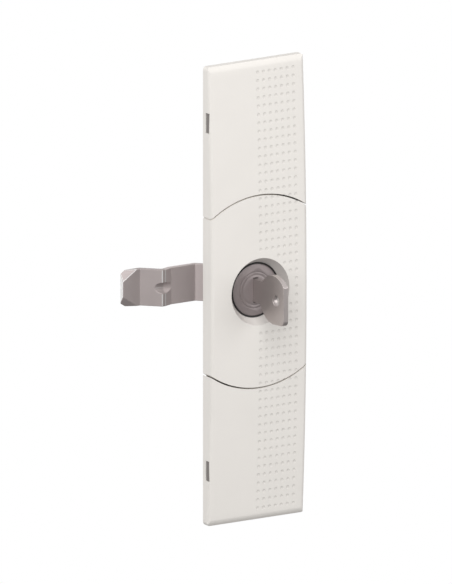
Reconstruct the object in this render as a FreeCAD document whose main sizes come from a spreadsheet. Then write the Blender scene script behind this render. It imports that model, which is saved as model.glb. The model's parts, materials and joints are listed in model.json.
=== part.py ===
import FreeCAD, Part
import Sketcher
import math
import os
import re

# Enclosure door lock. A white strip of three snap-on covers hides a grey frame that is screwed to the door.
# A cylinder lock is clamped in the middle of the frame, and its steel arm reaches past the strip's left side.
# The origin is on the lock's axis, in the plane where the frame meets the door.
# X runs to the right seen from the front, Y runs from the front to the back, and Z runs up.

# Driving sizes, in mm and degrees.
SIZES = {
    # the strip
    "cover_width": 37.4,
    "cover_height": 153.5,
    "cover_depth": 5.5,
    "cover_wall": 1.2,
    "arch_radius": 1250.0,
    "corner_radius": 1.2,
    "left_edge_radius": 1.0,
    "right_edge_radius": 2.0,
    "end_round_radius": 4.0,
    "end_round_angle": 42.0,
    "end_round_proud": 0.005,
    "gap_circle_radius": 32.2,
    "cover_gap": 0.5,
    # the snap slots in the side walls
    "slot_distance": 58.2,
    "slot_height": 6.7,
    "slot_back": 1.6,
    "slot_depth": 2.0,
    "right_slot_depth": 1.4,
    # the dish round the lock
    "dish_spread": 2.0,
    "dish_clearance": 0.05,
    "dish_cone_back": 2.2,
    "dish_cup_wall": 1.1,
    "dish_floor_thickness": 0.6,
    # the frame behind the covers
    "frame_plate": 1.2,
    "frame_seat": 0.7,
    "frame_side_clearance": 0.1,
    "frame_front_clearance": 0.1,
    "frame_corner_radius": 1.0,
    "collar_wall": 5.0,
    "collar_length": 2.0,
    "screw_distance": 42.0,
    "screw_boss_wall": 1.75,
    "screw_hole_radius": 1.25,
    "screw_hole_depth": 2.6,
    "screw_boss_roof": 0.5,
    "hook_arm": 1.2,
    "hook_end_gap": 0.2,
    "hook_window": 1.2,
    "hook_reach": 1.0,
    "hook_nose": 1.0,
    "hook_clearance": 0.1,
    # the lock housing
    "head_overhang": 0.65,
    "head_thickness": 0.9,
    "head_chamfer": 0.3,
    "head_chamfer_width": 0.9,
    "gasket_thickness": 0.4,
    "gasket_overhang": 0.5,
    "gasket_setback": 0.15,
    "barrel_radius": 8.0,
    "barrel_flat_cut": 1.0,
    "barrel_length": 11.65,
    "barrel_clearance": 0.1,
    "thread_pitch": 1.0,
    "thread_depth": 0.5,
    "thread_start": 1.3,
    "lug_height": 1.0,
    "lug_gap": 0.4,
    "lug_half_angle": 10.0,
    "lug_rim": 0.3,
    # the nut and its washer
    "nut_wall": 2.0,
    "nut_clearance": 0.05,
    "nut_thickness": 3.0,
    "nut_chamfer_angle": 27.0,
    "washer_thickness": 0.6,
    "washer_width": 2.2,
    "tooth_length": 1.1,
    "tooth_width": 0.9,
    "tooth_root": 0.3,
    "washer_teeth": 12,
    # the plug
    "plug_face_step": 0.4,
    "plug_face_thickness": 1.7,
    "housing_wall": 2.4,
    "plug_clearance": 0.05,
    "face_groove_inset": 1.0,
    "face_groove_width": 0.25,
    "face_groove_depth": 0.15,
    "tail_inset": 2.4,
    "tail_recess": 0.2,
    "square_clearance": 0.1,
    # the key
    "key_thickness": 1.8,
    "blade_inset": 1.7,
    "blade_end": 10.0,
    "blade_tip_chamfer": 1.2,
    "keyway_side_clearance": 0.03,
    "keyway_edge_clearance": 0.3,
    "keyway_end_clearance": 0.3,
    "bow_distance": 11.9,
    "bow_drop": 0.85,
    "bow_radius": 8.15,
    "bow_front": 6.3,
    "bow_corner_radius": 1.9,
    "bow_foot_rise": 0.3,
    "bow_hole_distance": 1.7,
    "bow_hole_radius": 1.9,
    "cut_half_width": 0.5,
    "cut_depth_1": 0.9,
    "cut_depth_2": 0.6,
    "cut_depth_3": 1.2,
    "cut_depth_4": 0.8,
    "cut_depth_5": 0.7,
    # the wafers and their springs
    "wafer_first": 0.4,
    "wafer_pitch": 1.7,
    "wafer_thickness": 0.9,
    "wafer_land": 0.65,
    "wafer_clearance": 0.05,
    "wafer_stroke": 0.6,
    "wafer_groove_clearance": 0.2,
    "wafer_groove_margin": 0.1,
    "window_side_clearance": 0.4,
    "window_clearance": 0.45,
    "spring_offset": 2.5,
    "spring_coil_radius": 0.36,
    "spring_wire": 0.16,
    "spring_length": 3.2,
    "spring_top": 0.2,
    "spring_turns": 5,
    "spring_clearance": 0.06,
    "spring_ledge_half_width": 0.45,
    "spring_notch_half_width": 0.55,
    # the stop disc, the arm and its screw
    "disc_thickness": 1.0,
    "disc_inset": 0.3,
    "disc_gap": 0.1,
    "disc_notch_gap": 0.3,
    "disc_notch_clearance": 2.0,
    "turn_angle": 90.0,
    "arm_thickness": 1.8,
    "arm_width": 12.3,
    "arm_rise_start": 6.4,
    "arm_rise_angle": 45.0,
    "arm_rise": 4.6,
    "arm_flat_end": 20.2,
    "arm_ridge_distance": 24.0,
    "arm_ridge_angle": 20.5,
    "arm_ridge_flat": 0.32,
    "arm_back_angle": 45.0,
    "arm_back_depth": 5.6,
    "arm_tip_distance": 36.1,
    "arm_bend_radius": 0.6,
    "tip_corner_length": 5.4,
    "tip_corner_height": 3.6,
    "tip_corner_back": 0.3,
    "gusset_radius": 1.75,
    "gusset_depth": 1.9,
    "gusset_wall": 1.4,
    "gusset_left": 1.6,
    "gusset_right": 2.4,
    "gusset_tilt": 6.7,
    "lock_washer_thickness": 0.8,
    "lock_washer_width": 1.8,
    "lock_washer_gap_angle": 12.0,
    "screw_radius": 2.0,
    "screw_length": 3.3,
    "screw_head_overhang": 1.5,
    "screw_head_height": 2.2,
    "screw_head_chamfer": 0.3,
    "screw_end_chamfer": 0.2,
    "screw_end_clearance": 0.1,
    "screw_socket_flats": 3.0,
    "screw_socket_depth": 1.3,
}

WAFERS = (1, 2, 3, 4, 5)

# Sizes that follow from the driving ones, as formulas.
DERIVED = {
    "head_radius": "(barrel_radius + head_overhang)",
    "gasket_radius": "(head_radius + gasket_overhang)",
    "dish_floor_radius": "(gasket_radius + dish_clearance)",
    "dish_rim_radius": "(dish_floor_radius + dish_spread)",
    "half_flats": "(barrel_radius - barrel_flat_cut)",
    "plug_radius": "(barrel_radius - housing_wall)",
    "plug_face_radius": "(plug_radius + plug_face_step)",
    "face_groove_radius": "(plug_face_radius - face_groove_inset)",
    "lug_inner_radius": "(plug_radius + lug_gap)",
    "tail_square": "(2 * (plug_radius - tail_inset))",
    "blade_height": "(2 * (plug_radius - blade_inset))",
    "wafer_half_width": "(spring_offset + spring_notch_half_width + wafer_land)",
    "window_half_width": "(key_thickness / 2 + window_side_clearance)",
    "disc_radius": "(barrel_radius - disc_inset)",
    "screw_boss_radius": "(screw_hole_radius + screw_boss_wall)",
    "lock_washer_radius": "(screw_radius + square_clearance + lock_washer_width)",
    "screw_head_radius": "(screw_radius + screw_head_overhang)",
}

# Places along Y that several pieces share, worked out from the sizes.
DISH_FLOOR_BACK = "-frame_seat"
DISH_FLOOR_FRONT = "(-frame_seat - dish_floor_thickness)"
HEAD_BACK = f"({DISH_FLOOR_FRONT} - gasket_thickness)"
HEAD_FRONT = f"({HEAD_BACK} - head_thickness)"
BARREL_BACK = "(barrel_length - frame_seat)"
DISC_FRONT = f"({BARREL_BACK} + disc_gap)"
DISC_BACK = f"({DISC_FRONT} + disc_thickness)"
ARM_BACK = f"({DISC_BACK} + arm_thickness)"
SCREW_SEAT = f"({ARM_BACK} + lock_washer_thickness)"
HALF_WIDTH = "cover_width / 2"
HALF_HEIGHT = "cover_height / 2"
# How far a cutting outline reaches past what it cuts, and how much of a turn the arch's cut takes.
BEYOND = 3.0
ARCH_CUT_ANGLE = 10.0
# A full turn in degrees, and the number of corners of the nut and of the screw's socket.
FULL_TURN = 360
HEXAGON_CORNERS = 6
# The stop lug's place round the axis, counted from the right.
LUG_PLACE = 90
# The snap slots' depth on the left (-1) and on the right, where the wider rounded edge leaves less room.
SLOT_DEPTHS = {-1: "slot_depth", 1: "right_slot_depth"}
# The arm's bends are counted from the hub: this one is the ridge.
RIDGE = 4
# How far the waste at the tip's corners reaches past the strip's faces.
CORNER_LEAD = 0.1
# An edge is at a place when its middle is nearer to it than this.
NEAR = 0.01

document = FreeCAD.newDocument("door_lock")


def make_sheet():
    """The spreadsheet of driving sizes, one named cell for each."""
    table = document.addObject("Spreadsheet::Sheet", "Sheet")
    for row, (name, size) in enumerate(SIZES.items(), start=1):
        table.set(f"A{row}", name)
        table.set(f"B{row}", str(size))
        table.setAlias(f"B{row}", name)
    document.recompute()
    return table


sheet = make_sheet()


def formula(text):
    """The formula with each driving size written as a cell of the sheet, and each derived size spelt out."""
    def to_cell(match):
        word = match.group(0)
        if word in DERIVED:
            return formula(DERIVED[word])
        return f"Sheet.{word}" if word in SIZES else word
    return re.sub(r"[a-z][a-z0-9_]*", to_cell, str(text))


def value(text):
    """What a formula of sizes comes to now."""
    return float(sheet.evalExpression(formula(text).replace("Sheet.", "")))


def bind(thing, field, text):
    """Tie a field of an object to a formula of sizes."""
    thing.setExpression(field, formula(text))


def new_body(name):
    """An empty body."""
    body = document.addObject("PartDesign::Body", name)
    document.recompute()
    return body


def sketch_on(body, plane, offset):
    """An empty sketch on one of the body's own planes, moved along that plane's normal."""
    sketch = body.newObject("Sketcher::SketchObject", f"{body.Name}_outline")
    support = next(item for item in body.Origin.OriginFeatures if item.Role == plane)
    sketch.AttachmentSupport = [(support, "")]
    sketch.MapMode = "FlatFace"
    bind(sketch, "AttachmentOffset.Base.z", offset)
    return sketch


def pin_point(sketch, shape, end, across, up):
    """Fix a point of the sketch's shape at two formulas."""
    for kind, text in (("DistanceX", across), ("DistanceY", up)):
        index = sketch.addConstraint(Sketcher.Constraint(kind, -1, 1, shape, end, value(text)))
        bind(sketch, f"Constraints[{index}]", text)


def draw_loop(sketch, points):
    """A closed outline through the points.

    A point is (across, up). With (across, up, radius, side) an arc leads on to the next point,
    with its centre to the left of the way there where side is 1, and to the right where it is -1.
    """
    spots = [FreeCAD.Vector(value(point[0]), value(point[1]), 0) for point in points]
    first = sketch.GeometryCount
    ends = []
    for number, point in enumerate(points):
        start = spots[number]
        finish = spots[(number + 1) % len(points)]
        if len(point) == 2:
            sketch.addGeometry(Part.LineSegment(start, finish), False)
            ends.append((1, 2))
            continue
        radius = value(point[2])
        side = point[3]
        chord = finish - start
        reach = math.sqrt(max(radius ** 2 - (chord.Length / 2) ** 2, 0))
        across = FreeCAD.Vector(-chord.y, chord.x, 0).normalize() * side * reach
        centre = (start + finish) / 2 + across
        circle = Part.Circle(centre, FreeCAD.Vector(0, 0, 1), radius)
        angles = [math.atan2(spot.y - centre.y, spot.x - centre.x) for spot in (start, finish)]
        if side < 0:
            angles.reverse()
        sketch.addGeometry(Part.ArcOfCircle(circle, angles[0], angles[1]), False)
        ends.append((1, 2) if side > 0 else (2, 1))
    for number, point in enumerate(points):
        shape = first + number
        before = (number - 1) % len(points)
        joint = ("Coincident", first + before, ends[before][1], shape, ends[number][0])
        sketch.addConstraint(Sketcher.Constraint(*joint))
        pin_point(sketch, shape, ends[number][0], point[0], point[1])
        if len(point) == 4:
            index = sketch.addConstraint(Sketcher.Constraint("Radius", shape, value(point[2])))
            bind(sketch, f"Constraints[{index}]", point[2])


def draw_circle(sketch, across, up, radius):
    """A full circle."""
    centre = FreeCAD.Vector(value(across), value(up), 0)
    circle = Part.Circle(centre, FreeCAD.Vector(0, 0, 1), value(radius))
    shape = sketch.addGeometry(circle, False)
    pin_point(sketch, shape, 3, across, up)
    index = sketch.addConstraint(Sketcher.Constraint("Radius", shape, value(radius)))
    bind(sketch, f"Constraints[{index}]", radius)


def rectangle(left, right, low, high):
    """The four corners of a rectangle, for draw_loop."""
    return [(left, low), (right, low), (right, high), (left, high)]


def draw_all(sketch, loops):
    """Outlines and circles: a loop is a list of points, a circle is a tuple (across, up, radius)."""
    for loop in loops:
        if isinstance(loop, tuple):
            draw_circle(sketch, *loop)
        else:
            draw_loop(sketch, loop)


def pad(body, plane, loops, low, high):
    """Add material between two places along the axis that is square to the plane."""
    start = f"-({high})" if plane == "XZ_Plane" else low
    sketch = sketch_on(body, plane, start)
    draw_all(sketch, loops)
    feature = body.newObject("PartDesign::Pad", f"{body.Name}_pad")
    feature.Profile = sketch
    bind(feature, "Length", f"({high}) - ({low})")
    return feature


def pocket(body, plane, loops, low, high):
    """Cut material away between two places along the axis that is square to the plane."""
    start = f"-({low})" if plane == "XZ_Plane" else high
    sketch = sketch_on(body, plane, start)
    draw_all(sketch, loops)
    feature = body.newObject("PartDesign::Pocket", f"{body.Name}_pocket")
    feature.Profile = sketch
    bind(feature, "Length", f"({high}) - ({low})")
    return feature


def revolve(body, points, kind="PartDesign::Revolution"):
    """Turn an outline of (radius, place along Y) points about the lock's axis, to add or to cut."""
    sketch = sketch_on(body, "XY_Plane", "0")
    draw_loop(sketch, points)
    feature = body.newObject(kind, f"{body.Name}_turned")
    feature.Profile = sketch
    feature.ReferenceAxis = (sketch, ["V_Axis"])
    feature.Angle = FULL_TURN
    return feature


def ring(inner, outer, front, back):
    """The outline of a plain ring, for revolve."""
    return [(inner, front), (outer, front), (outer, back), (inner, back)]


def hexagon(flats):
    """The corners of a hexagon with its flats left and right."""
    corner = f"({flats}) / sqrt(3)"
    turns = [FULL_TURN / HEXAGON_CORNERS * corner_number for corner_number in range(HEXAGON_CORNERS)]
    return [(f"{corner} * sin({turn})", f"{corner} * cos({turn})") for turn in turns]


def square(side):
    """The corners of a square round the axis."""
    return rectangle(f"-({side}) / 2", f"({side}) / 2", f"-({side}) / 2", f"({side}) / 2")


def boolean(kind, name, base, tools):
    """A boolean of several objects."""
    result = document.addObject(f"Part::{kind}", name)
    if kind == "Cut":
        result.Base = base
        result.Tool = tools[0]
    else:
        result.Shapes = [base] + tools
    return result


# The covers


def plan_outline(which, inset):
    """A cover's outline seen from the front: which is 1 for the upper, -1 for the lower, 0 for the centre.

    inset is a formula: how far inside the outer edge the outline runs.
    """
    side = f"({HALF_WIDTH} - ({inset}))"
    if which == 0:
        radius = f"(gap_circle_radius - cover_gap / 2 - ({inset}))"
        meet = f"sqrt({radius} ^ 2 - {side} ^ 2)"
        return [
            (f"-{side}", f"-{meet}", radius, 1),
            (side, f"-{meet}"),
            (side, meet, radius, 1),
            (f"-{side}", meet),
        ]
    radius = f"(gap_circle_radius + cover_gap / 2 + ({inset}))"
    meet = f"sqrt({radius} ^ 2 - {side} ^ 2)"
    top = f"({HALF_HEIGHT} - ({inset}))"
    corner = f"(corner_radius - ({inset}) / 2)"
    return [
        (f"-{side}", f"{which} * {meet}", radius, -which),
        (side, f"{which} * {meet}"),
        (side, f"{which} * ({top} - {corner})", corner, which),
        (f"{side} - {corner}", f"{which} * {top}"),
        (f"-({side} - {corner})", f"{which} * {top}", corner, which),
        (f"-{side}", f"{which} * ({top} - {corner})"),
    ]


def arch_cut(body, waste):
    """Turn a waste outline about the arch's far centre line, so that the front is gently bowed."""
    sketch = sketch_on(body, "XY_Plane", "0")
    draw_loop(sketch, waste)
    centre = "arch_radius - cover_depth"
    ends = [FreeCAD.Vector(across, value(centre), 0) for across in (-BEYOND, BEYOND)]
    axis = sketch.addGeometry(Part.LineSegment(*ends), True)
    pin_point(sketch, axis, 1, f"-{BEYOND}", centre)
    pin_point(sketch, axis, 2, f"{BEYOND}", centre)
    feature = body.newObject("PartDesign::Groove", f"{body.Name}_arch")
    feature.Profile = sketch
    feature.ReferenceAxis = (sketch, ["Axis0"])
    feature.Angle = ARCH_CUT_ANGLE
    feature.Midplane = True
    return feature


def cover_outer(name, which):
    """The outside of a cover: its outline, its bowed front with rounded edges, and its rounded end."""
    body = new_body(f"{name}_outer")
    ahead = f"(-cover_depth - {BEYOND})"
    side = f"({HALF_WIDTH} + {BEYOND})"
    pad(body, "XZ_Plane", [plan_outline(which, "0")], ahead, "0")
    arch_cut(body, [
        (f"-{side}", "left_edge_radius - cover_depth"),
        (f"-{HALF_WIDTH}", "left_edge_radius - cover_depth", "left_edge_radius", 1),
        (f"left_edge_radius - {HALF_WIDTH}", "-cover_depth"),
        (f"{HALF_WIDTH} - right_edge_radius", "-cover_depth", "right_edge_radius", 1),
        (HALF_WIDTH, "right_edge_radius - cover_depth"),
        (side, "right_edge_radius - cover_depth"),
        (side, f"{ahead} - {BEYOND}"),
        (f"-{side}", f"{ahead} - {BEYOND}"),
    ])
    if which:
        arc_start = f"({HALF_HEIGHT} - end_round_radius * sin(end_round_angle))"
        bow = f"(arch_radius - sqrt(arch_radius ^ 2 - {arc_start} ^ 2))"
        arc_front = f"({bow} - cover_depth - end_round_proud)"
        face_front = f"({arc_front} + end_round_radius * (1 - cos(end_round_angle)))"
        pocket(body, "YZ_Plane", [[
            (face_front, f"{which} * {HALF_HEIGHT}", "end_round_radius", which),
            (arc_front, f"{which} * {arc_start}"),
            (f"{ahead} - {BEYOND}", f"{which} * {arc_start}"),
            (f"{ahead} - {BEYOND}", f"{which} * ({HALF_HEIGHT} + {BEYOND})"),
            (face_front, f"{which} * ({HALF_HEIGHT} + {BEYOND})"),
        ]], f"-{side}", side)
    return body


def cover_core(name, which):
    """The hollow of a cover, open to the back, one wall inside the outside."""
    body = new_body(f"{name}_core")
    ahead = f"(-cover_depth - {BEYOND})"
    side = f"({HALF_WIDTH} + {BEYOND})"
    inner_front = "cover_wall - cover_depth"
    pad(body, "XZ_Plane", [plan_outline(which, "cover_wall")], ahead, f"{BEYOND}")
    arch_cut(body, rectangle(f"-{side}", side, f"{ahead} - {BEYOND}", inner_front))
    return body


def frame_room(name):
    """The room that every cover leaves for the frame's plate."""
    body = new_body(f"{name}_frame_room")
    side = f"({HALF_WIDTH} - cover_wall)"
    top = f"({HALF_HEIGHT} - cover_wall)"
    front = "-(frame_plate + frame_front_clearance)"
    pad(body, "XZ_Plane", [rectangle(f"-{side}", side, f"-{top}", top)], front, f"{BEYOND}")
    return body


def snap_slots(name, which):
    """The slot through each side wall that the frame's hook snaps into."""
    body = new_body(f"{name}_slots")
    inner = f"({HALF_WIDTH} - cover_wall)"
    side = f"({HALF_WIDTH} + {BEYOND})"
    low = f"{which} * slot_distance - slot_height / 2"
    high = f"{which} * slot_distance + slot_height / 2"
    for hand, depth in SLOT_DEPTHS.items():
        opening = rectangle(f"-slot_back - {depth}", "-slot_back", low, high)
        left, right = (f"-{side}", f"-{inner}") if hand < 0 else (inner, side)
        pad(body, "YZ_Plane", [opening], left, right)
    return body


def make_end_cover(name, which):
    """The upper or the lower cover."""
    shell = boolean("Cut", f"{name}_shell", cover_outer(name, which), [cover_core(name, which)])
    roomy = boolean("Cut", f"{name}_roomy", shell, [frame_room(name)])
    return boolean("Cut", name, roomy, [snap_slots(name, which)])


def make_centre_cover(name):
    """The centre cover, whose dish holds the lock's head."""
    shell = boolean("Cut", f"{name}_shell", cover_outer(name, 0), [cover_core(name, 0)])
    roomy = boolean("Cut", f"{name}_roomy", shell, [frame_room(name)])
    cup = new_body(f"{name}_cup")
    cup_radius = "(dish_rim_radius + dish_cup_wall)"
    middle_of_wall = "(cover_wall / 2 - cover_depth)"
    revolve(cup, [
        ("0", middle_of_wall),
        (cup_radius, middle_of_wall),
        ("dish_floor_radius + dish_cup_wall", DISH_FLOOR_BACK),
        ("0", DISH_FLOOR_BACK),
    ])
    dish = new_body(f"{name}_dish")
    slope = "(dish_spread / (cover_depth - dish_cone_back))"
    revolve(dish, [
        ("0", f"-cover_depth - {BEYOND}"),
        (f"dish_rim_radius + {BEYOND} * {slope}", f"-cover_depth - {BEYOND}"),
        ("dish_floor_radius", "-dish_cone_back"),
        ("dish_floor_radius", DISH_FLOOR_FRONT),
        ("barrel_radius + barrel_clearance", DISH_FLOOR_FRONT),
        ("barrel_radius + barrel_clearance", f"{BEYOND}"),
        ("0", f"{BEYOND}"),
    ])
    cupped = boolean("MultiFuse", f"{name}_cupped", roomy, [cup])
    return boolean("Cut", name, cupped, [dish])


# The frame


def make_frame(name):
    """The plate behind the covers, with its hooks, its screw bosses and the collar round the lock."""
    body = new_body(name)
    side = f"({HALF_WIDTH} - cover_wall - frame_side_clearance)"
    top = f"({HALF_HEIGHT} - cover_wall - frame_side_clearance)"
    corner = "frame_corner_radius"
    plate = [
        (f"-({side} - {corner})", f"-{top}"),
        (f"{side} - {corner}", f"-{top}", corner, 1),
        (side, f"-({top} - {corner})"),
        (side, f"{top} - {corner}", corner, 1),
        (f"{side} - {corner}", top),
        (f"-({side} - {corner})", top, corner, 1),
        (f"-{side}", f"{top} - {corner}"),
        (f"-{side}", f"-({top} - {corner})", corner, 1),
    ]
    pad(body, "XZ_Plane", [plate], "-frame_plate", "0")
    pad(body, "XZ_Plane", [("0", "0", "barrel_radius + collar_wall")], "0", "collar_length")
    cup_spread = "(frame_plate - frame_seat) * dish_spread / (cover_depth - cover_wall / 2 - frame_seat)"
    seat_radius = f"dish_floor_radius + dish_cup_wall + {cup_spread} + frame_side_clearance"
    pocket(body, "XZ_Plane", [("0", "0", seat_radius)], "-frame_plate", "-frame_seat")
    bore = "(barrel_radius + barrel_clearance)"
    flat = "(half_flats + barrel_clearance)"
    chord = f"sqrt({bore} ^ 2 - {flat} ^ 2)"
    hole = [
        (flat, f"-{chord}"),
        (flat, chord, bore, 1),
        (f"-{flat}", chord),
        (f"-{flat}", f"-{chord}", bore, 1),
    ]
    pocket(body, "XZ_Plane", [hole], "-frame_plate", "collar_length")
    for which in (-1, 1):
        centre = f"{which} * screw_distance"
        boss_top = "-(screw_hole_depth + screw_boss_roof)"
        pad(body, "XZ_Plane", [("0", centre, "screw_boss_radius")], boss_top, "-frame_plate")
        pocket(body, "XZ_Plane", [("0", centre, "screw_hole_radius")], "-screw_hole_depth", "0")
        for hand, slot_depth in SLOT_DEPTHS.items():
            low = f"{which} * slot_distance - slot_height / 2 + hook_end_gap"
            high = f"{which} * slot_distance + slot_height / 2 - hook_end_gap"
            inner = f"({side} - hook_arm)"
            toe = f"({side} + 2 * frame_side_clearance)"
            tip = f"({side} + frame_side_clearance + hook_reach)"
            nose_back = "-(slot_back + hook_clearance)"
            nose_front = f"{nose_back} - hook_nose"
            toe_front = f"-(slot_back + {slot_depth} - hook_clearance)"
            arm = [
                (f"{hand} * {inner}", "-frame_plate"),
                (f"{hand} * {side}", "-frame_plate"),
                (f"{hand} * {side}", nose_back),
                (f"{hand} * {tip}", nose_back),
                (f"{hand} * {tip}", toe_front),
                (f"{hand} * {toe}", toe_front),
                (f"{hand} * {toe}", nose_front),
                (f"{hand} * {inner}", nose_front),
            ]
            pad(body, "XY_Plane", [arm], low, high)
            window = rectangle(f"{hand} * ({inner} - hook_window)", f"{hand} * {inner}", low, high)
            pocket(body, "XZ_Plane", [window], "-frame_plate", "0")
    return body


# The cylinder lock


def make_housing(name):
    """The lock's body: head, threaded barrel with two flats, bore with wafer grooves, and the stop lug."""
    body = new_body(name)
    outline = [
        ("0", HEAD_FRONT),
        ("head_radius - head_chamfer_width", HEAD_FRONT),
        ("head_radius", f"{HEAD_FRONT} + head_chamfer"),
        ("head_radius", HEAD_BACK),
        ("barrel_radius", HEAD_BACK),
    ]
    ridges = int((value(BARREL_BACK) - value("thread_start")) / value("thread_pitch"))
    for ridge in range(ridges):
        start = f"(thread_start + {ridge} * thread_pitch)"
        outline.append(("barrel_radius", start))
        outline.append(("barrel_radius - thread_depth", f"{start} + thread_pitch / 2"))
    outline.append(("barrel_radius", f"thread_start + {ridges} * thread_pitch"))
    outline.append(("barrel_radius - thread_depth / 2", BARREL_BACK))
    outline.append(("0", BARREL_BACK))
    revolve(body, outline)
    lug_outer = "(barrel_radius - thread_depth / 2 - lug_rim)"
    lug = []
    for radius, turn in (("lug_inner_radius", 1), (lug_outer, 1), (lug_outer, -1), ("lug_inner_radius", -1)):
        lug.append((f"{turn} * {radius} * sin(lug_half_angle)", f"{radius} * cos(lug_half_angle)"))
    pad(body, "XZ_Plane", [lug], BARREL_BACK, f"{BARREL_BACK} + lug_height")
    for hand in (-1, 1):
        waste = rectangle(f"{hand} * half_flats", f"{hand} * (barrel_radius + {BEYOND})",
                          f"-(barrel_radius + {BEYOND})", f"barrel_radius + {BEYOND}")
        pocket(body, "XZ_Plane", [waste], HEAD_BACK, f"{BARREL_BACK} + lug_height")
    face_bore = "plug_face_radius + plug_clearance"
    step = f"({HEAD_FRONT} + plug_face_thickness)"
    revolve(body, [
        ("0", f"{HEAD_FRONT} - {BEYOND}"),
        (face_bore, f"{HEAD_FRONT} - {BEYOND}"),
        (face_bore, step),
        ("plug_radius + plug_clearance", step),
        ("plug_radius + plug_clearance", f"{BARREL_BACK} + lug_height + {BEYOND}"),
        ("0", f"{BARREL_BACK} + lug_height + {BEYOND}"),
    ], "PartDesign::Groove")
    wide = "(wafer_half_width + wafer_groove_margin)"
    deep = "(plug_radius + wafer_stroke + wafer_groove_clearance)"
    front = "wafer_first - wafer_thickness"
    back = f"wafer_first + {len(WAFERS) - 1} * wafer_pitch + wafer_thickness"
    upright = rectangle(f"-{wide}", wide, f"-{deep}", deep)
    level = rectangle(f"-{deep}", deep, f"-{wide}", wide)
    pocket(body, "XZ_Plane", [upright], front, back)
    pocket(body, "XZ_Plane", [level], front, back)
    return body


def make_gasket(name):
    """The black rubber ring under and round the head. Its rim shows as a dark line round the metal."""
    body = new_body(name)
    rim_front = f"{HEAD_FRONT} + gasket_setback"
    revolve(body, [
        ("barrel_radius + barrel_clearance", HEAD_BACK),
        ("head_radius", HEAD_BACK),
        ("head_radius", rim_front),
        ("gasket_radius", rim_front),
        ("gasket_radius", DISH_FLOOR_FRONT),
        ("barrel_radius + barrel_clearance", DISH_FLOOR_FRONT),
    ])
    return body


def make_nut(name):
    """The flat hexagon nut that clamps the housing to the frame."""
    body = new_body(name)
    front = "(collar_length + washer_thickness)"
    back = f"({front} + nut_thickness)"
    bore = ("0", "0", "barrel_radius + nut_clearance")
    flat = "(barrel_radius + nut_wall)"
    pad(body, "XZ_Plane", [hexagon(f"2 * {flat}"), bore], front, back)
    outside = f"({flat} + {BEYOND})"
    revolve(body, [
        (flat, f"{back} + {BEYOND}"),
        (flat, back),
        (outside, f"{back} - {BEYOND} * tan(nut_chamfer_angle)"),
        (outside, f"{back} + {BEYOND}"),
    ], "PartDesign::Groove")
    return body


def make_toothed_washer(name):
    """The washer under the nut, with teeth round its outside."""
    body = new_body(name)
    front = "collar_length"
    back = "(collar_length + washer_thickness)"
    tip = "(barrel_radius + washer_width)"
    outer = f"({tip} - tooth_length)"
    revolve(body, ring("barrel_radius + barrel_clearance", outer, front, back))
    outline = rectangle("-tooth_width / 2", "tooth_width / 2", f"{outer} - tooth_root", tip)
    tooth = pad(body, "XZ_Plane", [outline], front, back)
    pattern = body.newObject("PartDesign::PolarPattern", f"{name}_teeth")
    pattern.Originals = [tooth]
    axis = next(item for item in body.Origin.OriginFeatures if item.Role == "Y_Axis")
    pattern.Axis = (axis, [""])
    pattern.Angle = FULL_TURN
    bind(pattern, "Occurrences", "washer_teeth")
    body.Tip = pattern
    return body


def wafer_place(number):
    """A wafer's place along Y."""
    return f"(wafer_first + {number - 1} * wafer_pitch)"


def wafer_way(number):
    """The way a wafer moves when the key leaves: odd wafers go up, even ones down."""
    return 1 if number % 2 else -1


def make_plug(name):
    """The turning core: face, body with keyway and wafer slots, and the square tail with its screw hole."""
    body = new_body(name)
    step = f"({HEAD_FRONT} + plug_face_thickness)"
    groove_in = "(face_groove_radius - face_groove_width)"
    tail_end = f"({ARM_BACK} - tail_recess)"
    revolve(body, [
        ("0", HEAD_FRONT),
        (groove_in, HEAD_FRONT),
        ("face_groove_radius", f"{HEAD_FRONT} + face_groove_depth"),
        ("face_groove_radius + face_groove_width", HEAD_FRONT),
        ("plug_face_radius", HEAD_FRONT),
        ("plug_face_radius", f"{step} - plug_clearance"),
        ("plug_radius", f"{step} - plug_clearance"),
        ("plug_radius", BARREL_BACK),
        ("0", BARREL_BACK),
    ])
    pad(body, "XZ_Plane", [square("tail_square")], BARREL_BACK, tail_end)
    key_side = "(key_thickness / 2 + keyway_side_clearance)"
    key_edge = "(blade_height / 2 + keyway_edge_clearance)"
    keyway = rectangle(f"-{key_side}", key_side, f"-{key_edge}", key_edge)
    pocket(body, "XZ_Plane", [keyway], HEAD_FRONT, "blade_end + keyway_end_clearance")
    reach = f"(plug_radius + {BEYOND})"
    side = "(wafer_half_width + wafer_clearance)"
    for number in WAFERS:
        way = wafer_way(number)
        ledge = f"{-way} * (spring_top + spring_length)"
        slot = [
            (f"-{side}", f"{-way} * {reach}"),
            ("spring_offset - spring_ledge_half_width", f"{-way} * {reach}"),
            ("spring_offset - spring_ledge_half_width", ledge),
            ("spring_offset + spring_ledge_half_width", ledge),
            ("spring_offset + spring_ledge_half_width", f"{-way} * {reach}"),
            (side, f"{-way} * {reach}"),
            (side, f"{way} * {reach}"),
            (f"-{side}", f"{way} * {reach}"),
        ]
        half = "(wafer_thickness / 2 + wafer_clearance)"
        pocket(body, "XZ_Plane", [slot], f"{wafer_place(number)} - {half}", f"{wafer_place(number)} + {half}")
    hole_end = f"{SCREW_SEAT} - screw_length - lock_washer_thickness"
    pocket(body, "XZ_Plane", [("0", "0", "screw_radius")], hole_end, tail_end)
    return body


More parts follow.
